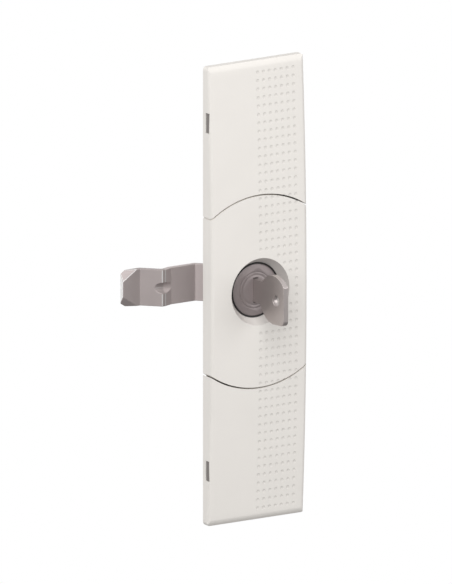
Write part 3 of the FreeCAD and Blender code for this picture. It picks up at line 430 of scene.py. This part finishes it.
def outline_block(name, half_width, low, high, corner, front, back):
    """A block with the plan of the strip between two heights, its outer corners rounded."""
    block = bmesh.new()
    bmesh.ops.create_cube(block, size=1)
    bmesh.ops.scale(block, vec=(half_width * 2, back - front, high - low), verts=block.verts)
    bmesh.ops.translate(block, vec=(0, (front + back) / 2, (low + high) / 2), verts=block.verts)
    end = high if abs(high) > abs(low) else low
    if corner > 0:
        corners = [edge for edge in block.edges
                   if abs(edge.verts[0].co.y - edge.verts[1].co.y) > NEAR
                   and abs(edge.verts[0].co.z - end) < NEAR]
        bmesh.ops.bevel(block, geom=corners, offset=corner, segments=ROUND_SEGMENTS, profile=0.5,
                        affect="EDGES", material=-1)
    return mesh_object(name, block)


print("gap circle", GAP_CIRCLE, "gap", GAP_WIDTH)

# %% [markdown]
# ## The rounded ends
# Each end has a flat face, and a wide soft rounding leads from the bowed front to that face. A bevel
# along the end's edge would have to meet the round side edges and the corners as well. So the waste is
# a solid of its own: an arc is spun from one vertex, closed to an outline, and swept across the strip.

# %% What is cut off the ends
END_ROUND = 4.0 * MM
END_TURN = math.radians(42)
END_STEPS = 12
END_PROUD = 0.005 * MM
END_SOFTNESS = 0.22 * MM
SOFT_SEGMENTS = 3


def end_waste(name, way):
    """What is cut off the strip's end: the space in front of its rounding and past its flat face."""
    arc_height = HALF_HEIGHT - END_ROUND * math.sin(END_TURN)
    arc_front = sag(arc_height) - COVER_DEPTH - END_PROUD
    left = -HALF_WIDTH - BEYOND
    centre = Vector((left, arc_front + END_ROUND, way * arc_height))
    waste = bmesh.new()
    first = waste.verts.new((left, arc_front, way * arc_height))
    bmesh.ops.spin(waste, geom=[first], cent=centre, axis=(1, 0, 0), angle=-way * END_TURN,
                   steps=END_STEPS)
    last = max(waste.verts, key=lambda vert: vert.co.y)
    above = waste.verts.new((left, last.co.y, way * (HALF_HEIGHT + BEYOND)))
    corner = waste.verts.new((left, arc_front - 2 * BEYOND, way * (HALF_HEIGHT + BEYOND)))
    ahead = waste.verts.new((left, corner.co.y, way * arc_height))
    for pair in ((last, above), (above, corner), (corner, ahead), (ahead, first)):
        waste.edges.new(pair)
    bmesh.ops.bevel(waste, geom=[last], offset=END_SOFTNESS, segments=SOFT_SEGMENTS, profile=0.5,
                    affect="VERTICES", material=-1)
    face = bmesh.ops.contextual_create(waste, geom=waste.edges[:])["faces"]
    swept = bmesh.ops.extrude_face_region(waste, geom=face)["geom"]
    moved = [item for item in swept if isinstance(item, bmesh.types.BMVert)]
    bmesh.ops.translate(waste, vec=(2 * (HALF_WIDTH + BEYOND), 0, 0), verts=moved)
    bmesh.ops.recalc_face_normals(waste, faces=waste.faces)
    return mesh_object(name, waste)


# %% [markdown]
# ## Dimples
# Seven columns of tiny round dimples cover the right half of the front, from end to end, except in
# the dish. They could be only a bump in the material, but then the mesh would be bare. Each one is the
# cap of a small flattened ball whose middle lies in front of the surface, so its rim has a gentle slope.
# The cut keeps the number of the ball's material, so the dimples come out in their own rougher plastic,
# whose darker white is painted shade.

# %% The dimples' cutting body
COVER_PLASTICS = (cover_plastic, dimple_painted_shade, dish_painted_shade)
DIMPLE_COLUMNS = 7
FIRST_COLUMN = 0.2 * MM
COLUMN_PITCH = 2.29 * MM
ROW_PITCH = 2.807 * MM
ROWS_EACH_WAY = 26
BALL_RADIUS = 0.8 * MM
BALL_DEPTH = 0.3 * MM
BALL_AHEAD = 0.17 * MM
BALL_SEGMENTS = 10
DISH_CLEAR = 12.3 * MM


def dimple_cutters(name):
    """Every dimple as a small flattened ball sunk into the bowed front."""
    squeeze = BALL_DEPTH / BALL_RADIUS
    cutters = bmesh.new()
    count = 0
    upright = Matrix.Rotation(math.pi / 2, 4, "X")
    flat = Matrix.Diagonal((1, squeeze, 1, 1))
    for row in range(-ROWS_EACH_WAY, ROWS_EACH_WAY + 1):
        height = row * ROW_PITCH
        middle = sag(height) - COVER_DEPTH - BALL_AHEAD
        for column in range(DIMPLE_COLUMNS):
            across = FIRST_COLUMN + column * COLUMN_PITCH
            if math.hypot(across, height) < DISH_CLEAR:
                continue
            ball = bmesh.ops.create_uvsphere(cutters, u_segments=BALL_SEGMENTS, v_segments=BALL_SEGMENTS,
                                             radius=BALL_RADIUS)
            place = Matrix.Translation((across, middle, height))
            bmesh.ops.transform(cutters, matrix=place @ flat @ upright, verts=ball["verts"])
            count += 1
    # The dimples' faces get the plastic whose darker white is painted shade.
    for face in cutters.faces:
        face.material_index = COVER_PLASTICS.index(dimple_painted_shade)
    print("dimples", count)
    return mesh_object(name, cutters)


# %% [markdown]
# ## The dish
# The lock's head sits in a round dish in the centre cover: a shallow cone, then a short straight wall
# and a floor with the hole for the barrel. Its profile is a row of points turned once round the axis.
# A Screw modifier could turn it too, but spin gives the closed mesh that the cut needs straight away.

# %% The dish and the cup behind it
DISH_RIM = 11.2 * MM
DISH_FLOOR_RADIUS = 9.2 * MM
DISH_CONE_BACK = -2.2 * MM
DISH_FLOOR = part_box("head_gasket")[1].y
DISH_FLOOR_WALL = 0.6 * MM
DISH_FLOOR_BACK = DISH_FLOOR + DISH_FLOOR_WALL
BARREL_HOLE = 8.1 * MM
CUP_WALL = 1.1 * MM
COVER_WALL = 1.2 * MM
TURN_STEPS = 128
WELD = MM / 1000


def turned(name, profile):
    """A solid of revolution round the lock's axis from (radius, depth) points."""
    body = bmesh.new()
    line = [body.verts.new((radius, depth, 0)) for radius, depth in profile]
    edges = [body.edges.new(pair) for pair in zip(line, line[1:])]
    bmesh.ops.spin(body, geom=line + edges, cent=(0, 0, 0), axis=(0, 1, 0), angle=2 * math.pi,
                   steps=TURN_STEPS, use_merge=True)
    bmesh.ops.remove_doubles(body, verts=body.verts, dist=WELD)
    bmesh.ops.recalc_face_normals(body, faces=body.faces)
    return mesh_object(name, body)


def dish_cutter(name):
    """The hollow of the dish and the hole in its floor, in the dish's darker plastic of painted shade."""
    slope = (DISH_RIM - DISH_FLOOR_RADIUS) / (DISH_CONE_BACK + COVER_DEPTH)
    cutter = turned(name, [
        (0, AHEAD),
        (DISH_RIM + BEYOND * slope, AHEAD),
        (DISH_FLOOR_RADIUS, DISH_CONE_BACK),
        (DISH_FLOOR_RADIUS, DISH_FLOOR),
        (BARREL_HOLE, DISH_FLOOR),
        (BARREL_HOLE, BEYOND),
        (0, BEYOND),
    ])
    # The dish's faces get the plastic whose darker white is painted shade.
    for polygon in cutter.data.polygons:
        polygon.material_index = COVER_PLASTICS.index(dish_painted_shade)
    return cutter


def dish_cup(name):
    """The cup moulded behind the dish."""
    front = COVER_WALL / 2 - COVER_DEPTH
    return turned(name, [
        (0, front),
        (DISH_RIM + CUP_WALL, front),
        (DISH_FLOOR_RADIUS + CUP_WALL, DISH_FLOOR_BACK),
        (0, DISH_FLOOR_BACK),
    ])


print("dish floor", DISH_FLOOR, "to", DISH_FLOOR_BACK)

# %% [markdown]
# ## Hollows
# A moulded cover is a shell whose walls keep one thickness. Solidify could make such a shell, but it
# would repeat every dimple on the inside. So the hollow is cut with a body: the same bowed bar, one wall
# smaller, with the cover's plan. The walls along the gaps stop short of the frame's plate, which lies
# behind all three covers.

# %% Cutting bodies for the insides
FRAME_ROOM_FRONT = -1.3 * MM


def hollow(name, low, high, gap_radius, ring_cut):
    """The space inside a cover, up to the door. ring_cut says which side of the gap's circle it is."""
    core = bowed_bar(name, HALF_WIDTH - COVER_WALL, COVER_WALL - COVER_DEPTH, BEYOND, 0, 0)
    plan = outline_block("plan", HALF_WIDTH, low, high, 0, AHEAD, 2 * BEYOND)
    combine(core, plan, "INTERSECT")
    combine(core, upright_cylinder("ring", gap_radius, AHEAD, 2 * BEYOND), ring_cut)
    return core


def frame_room(name):
    """The room that every cover leaves for the frame's plate."""
    top = HALF_HEIGHT - COVER_WALL
    return outline_block(name, HALF_WIDTH - COVER_WALL, -top, top, 0, FRAME_ROOM_FRONT, BEYOND)


# %% [markdown]
# ## Snap slots
# Each side wall of an end cover has a slot, a low window that one of the frame's hooks snaps into. The
# slots on the right are shallower than those on the left. A slot has square corners, so a block cuts it.

# %% The slots' cutting body
SLOT_HEIGHT = 6.7 * MM
SLOT_BACK = -1.6 * MM
SLOT_DEPTHS = {-1: 2.0 * MM, 1: 1.4 * MM}
SLOT_DISTANCE = 58.2 * MM


def snap_slot(name, side, height):
    """The slot through one side wall."""
    slot_size = Vector((BEYOND, SLOT_DEPTHS[side], SLOT_HEIGHT))
    slot_low = Vector((side * (HALF_WIDTH - COVER_WALL / 2) - BEYOND / 2, SLOT_BACK - slot_size.y,
                       height - SLOT_HEIGHT / 2))
    block = bmesh.new()
    bmesh.ops.create_cube(block, size=1)
    bmesh.ops.scale(block, vec=slot_size, verts=block.verts)
    bmesh.ops.translate(block, vec=slot_low + slot_size / 2, verts=block.verts)
    return mesh_object(name, block)


# %% [markdown]
# ## The last step of a cover
# The cuts leave faces with many corners and a few points that lie on each other. The points are merged
# and such faces are split. Then the bow and the roundings are shaded smooth, up to every edge that turns
# by more than a set angle, so that the rims of the dimples and the gaps stay crisp.

# %% Finish a cover
FINE_WELD = MM / 2000
COVER_SHARP = math.radians(18)
MOST_CORNERS = 4


def finish_cover(cover, name):
    """Tidy the mesh, smooth it up to its sharp edges, and put it in the CAD node's place."""
    tidy = bmesh.new()
    tidy.from_mesh(cover.data)
    bmesh.ops.remove_doubles(tidy, verts=tidy.verts, dist=FINE_WELD)
    many_sided = [face for face in tidy.faces if len(face.verts) > MOST_CORNERS]
    bmesh.ops.triangulate(tidy, faces=many_sided)
    for face in tidy.faces:
        face.smooth = True
    for edge in tidy.edges:
        edge.smooth = len(edge.link_faces) == 2 and edge.calc_face_angle(0) < COVER_SHARP
    tidy.to_mesh(cover.data)
    tidy.free()
    cover.name = f"{name}_shell"
    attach(cover, "base")
    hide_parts(name)
    print(cover.name, len(cover.data.polygons), "faces")


# %% [markdown]
# ## The bar with its dimples
# The dimples are cut into the whole bar before it is divided, so their rows run on across the gaps.
# The bar carries all three plastics, which the cutting bodies then give to the faces that they make.

# %% Cut the dimples into the bar
dimples = dimple_cutters("dimples")
bar = bowed_bar("bar", HALF_WIDTH, -COVER_DEPTH, 0, LEFT_EDGE, RIGHT_EDGE)
for plastic in COVER_PLASTICS:
    bar.data.materials.append(plastic)
combine(bar, dimples, "DIFFERENCE")
print("bar", len(bar.data.polygons), "faces")

# %% [markdown]
# ## The end covers
# Each end cover is a copy of the bar that is cut to its plan, loses the gap's circle and the waste at
# its end, and is then hollowed. The room for the frame's plate and the slots come last.

# %% Cut the upper and the lower cover
INSIDE_GAP = 10 * MM

for name, way in (("upper_cover", 1), ("lower_cover", -1)):
    cover = bar.copy()
    cover.data = bar.data.copy()
    bpy.context.scene.collection.objects.link(cover)
    low, high = sorted((way * INSIDE_GAP, way * HALF_HEIGHT))
    combine(cover, outline_block("plan", HALF_WIDTH, low, high, CORNER_RADIUS, AHEAD, BEYOND), "INTERSECT")
    combine(cover, upright_cylinder("ring", GAP_CIRCLE + GAP_WIDTH, AHEAD, BEYOND), "DIFFERENCE")
    combine(cover, end_waste("end", way), "DIFFERENCE")
    low, high = sorted((way * INSIDE_GAP, way * (HALF_HEIGHT - COVER_WALL)))
    core = hollow("core", low, high, GAP_CIRCLE + GAP_WIDTH + COVER_WALL, "DIFFERENCE")
    combine(cover, core, "DIFFERENCE")
    combine(cover, frame_room("room"), "DIFFERENCE")
    for side in SLOT_DEPTHS:
        combine(cover, snap_slot("slot", side, way * SLOT_DISTANCE), "DIFFERENCE")
    finish_cover(cover, name)

# %% [markdown]
# ## The centre cover
# The centre cover is the rest of the bar inside the gap's circle. The dish's cup joins it after the
# hollow and the frame's room are cut, because they would cut the cup away too, and the dish goes
# through both cover and cup at the end.

# %% Cut the centre cover
combine(bar, upright_cylinder("ring", GAP_CIRCLE, AHEAD, BEYOND), "INTERSECT")
core = hollow("core", -HALF_HEIGHT, HALF_HEIGHT, GAP_CIRCLE - COVER_WALL, "INTERSECT")
combine(bar, core, "DIFFERENCE")
combine(bar, frame_room("room"), "DIFFERENCE")
combine(bar, dish_cup("cup"), "UNION")
combine(bar, dish_cutter("dish"), "DIFFERENCE")
finish_cover(bar, "centre_cover")

# %% [markdown]
# ## Softened metal edges
# No stamped or turned edge is perfectly sharp, and a sharp one never catches the light. A CAD node's
# mesh is loose triangles, so it is copied first, and its triangles are joined into flat faces.
# Then the edges of the key and the arm get a bevel of a tenth or two of a millimetre. A bevel in the
# shader would look the same but leave the mesh sharp.

# %% Soften the edges of a metal piece
FLAT_ANGLE = math.radians(0.5)
SHARP_ANGLE = math.radians(40)
BEVEL_SEGMENTS = 2


def flat_faced_copy(name):
    """A bmesh of a CAD node with its loose triangles merged into flat faces."""
    copy = bmesh.new()
    copy.from_mesh(nodes[name].data)
    bmesh.ops.remove_doubles(copy, verts=copy.verts, dist=WELD)
    bmesh.ops.dissolve_limit(copy, angle_limit=FLAT_ANGLE, verts=copy.verts, edges=copy.edges)
    return copy


def soften(name, width, least_angle, slot, body, is_highlight=None):
    """A copy of a CAD node whose edges from a certain angle on are bevelled.

    The last argument picks the faces that get a lighter steel as painted highlights.
    """
    piece = mesh_object(f"{name}_finished", flat_faced_copy(name))
    bevel = piece.modifiers.new("soft_edges", "BEVEL")
    bevel.width = width
    bevel.segments = BEVEL_SEGMENTS
    bevel.limit_method = "ANGLE"
    bevel.angle_limit = least_angle
    bevel.use_clamp_overlap = False
    apply_modifiers(piece)
    for polygon in piece.data.polygons:
        polygon.use_smooth = True
    piece.data.set_sharp_from_angle(angle=SHARP_ANGLE)
    flats = piece.modifiers.new("flat_faces", "WEIGHTED_NORMAL")
    flats.keep_sharp = True
    apply_modifiers(piece)
    piece.data.materials.clear()
    piece.data.materials.append(FINISHES[slot])
    # Faces that the picker names get the lighter steel, as painted highlights.
    if is_highlight:
        piece.data.materials.append(painted_highlight_steel)
        for polygon in piece.data.polygons:
            polygon.material_index = 1 if is_highlight(polygon) else 0
        print("bright faces", sum(polygon.material_index for polygon in piece.data.polygons))
    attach(piece, body)
    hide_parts(name)
    print(piece.name, len(piece.data.polygons), "faces")


# %% [markdown]
# ## The key and the arm
# The arm's end, the two edges of its ridge and the edges of its upper corner get a lighter steel:
# painted highlights. The end is what faces left, and the rest is picked among the narrow faces of the
# bevel by where they lie and how they face. A component of a face's normal near 1 means that it faces
# squarely along that axis, and the words below stand for smaller and smaller components.

# %% Soften the key and the arm
KEY_BEVEL = 0.12 * MM
KEY_EDGE_ANGLE = math.radians(35)
ARM_BEVEL = 0.2 * MM
ARM_EDGE_ANGLE = math.radians(18)

RIDGE_PLACE = -24.0 * MM
RIDGE_REACH = 1.1 * MM
TIP_CORNER = -30.5 * MM
BEVEL_STRIP = 2.0 * MM * MM
SQUARELY = 0.995
NEARLY_SQUARELY = 0.95
MOSTLY = 0.7
HALFWAY = 0.5
A_LITTLE = 0.2
HARDLY = 0.1


def gets_painted_highlight(polygon):
    """Whether a face gets a painted highlight: one of the ridge's two edges, the arm's end, or an edge of
    its upper corner.
    """
    normal = polygon.normal
    centre = polygon.center
    flat = max(abs(normal.x), abs(normal.y), abs(normal.z)) > SQUARELY
    narrow = polygon.area < BEVEL_STRIP
    at_end = normal.x < -NEARLY_SQUARELY
    at_ridge = abs(centre.x - RIDGE_PLACE) < RIDGE_REACH
    on_ridge = at_ridge and normal.y < -MOSTLY and abs(normal.z) < HARDLY
    at_corner = centre.x < TIP_CORNER and normal.z > A_LITTLE and normal.y < -HALFWAY
    return at_end or (narrow and not flat and (on_ridge or at_corner))


soften("key", KEY_BEVEL, KEY_EDGE_ANGLE, "key_steel", "key")
# The arm's end and edges get painted highlights.
soften("cam_arm", ARM_BEVEL, ARM_EDGE_ANGLE, "arm_steel", "plug", gets_painted_highlight)

# %% [markdown]
# ## The lock's face
# The head and the plug are turned on a lathe, and only their front edges show. The bevel is put on those
# edges alone, because the thread behind them has dozens of edges that no one sees.

# %% Soften the front edges of the head and the plug
HEAD_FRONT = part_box("lock_housing")[0].y
HEAD_EDGE_DEPTH = 0.5 * MM
PLUG_EDGE_DEPTH = 0.05 * MM
PLUG_RIM = 5 * MM
FRONT_BEVEL = 0.06 * MM
FRONT_EDGE_ANGLE = math.radians(50)


def soften_front(name, depth, least_radius, width, slot, body):
    """A copy of a CAD node with the sharp round edges in front of a depth bevelled."""
    copy = flat_faced_copy(name)
    sharp = [edge for edge in copy.edges
             if len(edge.link_faces) == 2 and edge.calc_face_angle() > FRONT_EDGE_ANGLE
             and all(vert.co.y < depth and math.hypot(vert.co.x, vert.co.z) > least_radius
                     for vert in edge.verts)]
    bmesh.ops.bevel(copy, geom=sharp, offset=width, segments=BEVEL_SEGMENTS, profile=0.5,
                    affect="EDGES", material=-1, clamp_overlap=True)
    for face in copy.faces:
        face.smooth = True
    piece = mesh_object(f"{name}_finished", copy)
    piece.data.set_sharp_from_angle(angle=SHARP_ANGLE)
    piece.data.materials.append(FINISHES[slot])
    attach(piece, body)
    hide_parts(name)
    print(piece.name, len(sharp), "edges softened,", len(piece.data.polygons), "faces")


soften_front("lock_housing", HEAD_FRONT + HEAD_EDGE_DEPTH, PLUG_RIM, FRONT_BEVEL, "lock_metal", "base")
soften_front("lock_plug", HEAD_FRONT + PLUG_EDGE_DEPTH, PLUG_RIM, FRONT_BEVEL, "lock_metal", "plug")

# %% [markdown]
# ## The table top
# The photograph shows the lock on plain white with no shadow on it. Here it hangs above a plain table
# top, near its back edge. The camera looks past that edge, so the picture's ground is the world alone.
# The table throws less light up than the sky throws down, which gives undersides their shade.

# %% Floor
FLOOR_DROP = 200 * MM
FLOOR_LEFT = -0.7
FLOOR_RIGHT = 2.5
FLOOR_FRONT = -3.0
FLOOR_BACK = 0.45
FLOOR_GREY = 0.22
FLOOR_ROUGHNESS = 0.9

floor_middle = Vector(((FLOOR_LEFT + FLOOR_RIGHT) / 2, (FLOOR_FRONT + FLOOR_BACK) / 2,
                       -HALF_HEIGHT - FLOOR_DROP))
floor_size = Vector((FLOOR_RIGHT - FLOOR_LEFT, FLOOR_BACK - FLOOR_FRONT, 1))
floor_builder = bmesh.new()
bmesh.ops.create_grid(floor_builder, x_segments=1, y_segments=1, size=0.5)
bmesh.ops.scale(floor_builder, vec=floor_size, verts=floor_builder.verts)
bmesh.ops.translate(floor_builder, vec=floor_middle, verts=floor_builder.verts)
floor = mesh_object("studio_floor", floor_builder)
floor_paint = bpy.data.materials.new("studio_floor")
floor_paint.use_nodes = True
floor_shader = floor_paint.node_tree.nodes["Principled BSDF"]
floor_shader.inputs["Base Color"].default_value = (FLOOR_GREY, FLOOR_GREY, FLOOR_GREY, 1)
floor_shader.inputs["Roughness"].default_value = FLOOR_ROUGHNESS
floor.data.materials.append(floor_paint)
print("floor", tuple(floor_size), "m")

# %% [markdown]
# ## The world
# The world is white where the camera sees it, or a ray that metal mirrors or glass lets through. To
# every other ray it is a soft sky, much weaker, so that a white ground puts no more light on the lock.

# %% World
WHITE = (1, 1, 1, 1)
SKY_STRENGTH = 0.38
BACKDROP_STRENGTH = 1

world = bpy.data.worlds.new("studio_sky")
bpy.context.scene.world = world
world.use_nodes = True
tree = world.node_tree
sky = tree.nodes["Background"]
sky.inputs["Color"].default_value = WHITE
sky.inputs["Strength"].default_value = SKY_STRENGTH
backdrop = tree.nodes.new("ShaderNodeBackground")
backdrop.inputs["Color"].default_value = WHITE
backdrop.inputs["Strength"].default_value = BACKDROP_STRENGTH


def either(one, other):
    """1 for a ray of either kind, otherwise 0."""
    larger = tree.nodes.new("ShaderNodeMath")
    larger.operation = "MAXIMUM"
    tree.links.new(one, larger.inputs[0])
    tree.links.new(other, larger.inputs[1])
    return larger.outputs["Value"]


rays = tree.nodes.new("ShaderNodeLightPath").outputs
seen_or_mirrored = either(rays["Is Camera Ray"], rays["Is Glossy Ray"])
seen_at_all = either(seen_or_mirrored, rays["Is Transmission Ray"])
mix = tree.nodes.new("ShaderNodeMixShader")
tree.links.new(seen_at_all, mix.inputs["Fac"])
tree.links.new(sky.outputs["Background"], mix.inputs[1])
tree.links.new(backdrop.outputs["Background"], mix.inputs[2])
tree.links.new(mix.outputs["Shader"], tree.nodes["World Output"].inputs["Surface"])
print("sky", SKY_STRENGTH, "backdrop", BACKDROP_STRENGTH)

# %% [markdown]
# ## Lamps
# One large soft lamp above and to the left gives the main light: it makes the upper side of each
# dimple dark and the lower side bright. A weaker one in front on the right fills the shadows. A third
# one on the left lights the key's flat side and the arm, and a weak one behind it the edges of the steel.

# %% Lamps
def lamp(name, place, size, power):
    """A square area lamp that points at the lock."""
    light = bpy.data.lights.new(name, "AREA")
    light.size = size
    light.energy = power
    thing = bpy.data.objects.new(name, light)
    bpy.context.scene.collection.objects.link(thing)
    thing.location = place
    thing.rotation_euler = (-Vector(place)).to_track_quat("-Z", "Y").to_euler()
    thing.visible_camera = False
    print(name, power, "W")


lamp("key_light", place=(-0.75, -1.2, 1.65), size=1.5, power=23.4)
lamp("fill_light", place=(1.2, -1.2, 0.4), size=1.2, power=8.5)
lamp("side_light", place=(-1.05, -1.1, 0.4), size=0.8, power=7)
lamp("edge_light", place=(-0.85, 0.85, 0.05), size=0.8, power=3.2)

# %% [markdown]
# ## Camera
# The photograph looks from the left and a little above. Its parallel lines stay parallel, so the camera
# is an orthographic one. The lock's axis isn't in the picture's middle, so it aims at a point beside it.

# %% Camera
IMAGE_WIDTH = 452
IMAGE_HEIGHT = 584
PIXEL = 0.325 * MM
VIEW_TURN = math.radians(32.8)
VIEW_RISE = math.radians(13.8)
AXIS_PIXEL_X = 251.33
AXIS_PIXEL_Y = 288.31
DISTANCE = 2.8
CLIP_END = 100

forward = Vector((math.sin(VIEW_TURN) * math.cos(VIEW_RISE), math.cos(VIEW_TURN) * math.cos(VIEW_RISE),
                  -math.sin(VIEW_RISE)))
right = Vector((math.cos(VIEW_TURN), -math.sin(VIEW_TURN), 0))
up = right.cross(forward)
aim = right * (IMAGE_WIDTH / 2 - AXIS_PIXEL_X) * PIXEL - up * (IMAGE_HEIGHT / 2 - AXIS_PIXEL_Y) * PIXEL
camera_data = bpy.data.cameras.new("camera")
camera_data.type = "ORTHO"
camera_data.ortho_scale = max(IMAGE_WIDTH, IMAGE_HEIGHT) * PIXEL
camera_data.clip_end = CLIP_END
camera = bpy.data.objects.new("camera", camera_data)
bpy.context.scene.collection.objects.link(camera)
camera.location = aim - forward * DISTANCE
camera.rotation_euler = forward.to_track_quat("-Z", "Y").to_euler()
bpy.context.scene.camera = camera
bpy.context.scene.view_settings.view_transform = "Standard"
print("camera at", tuple(camera.location))
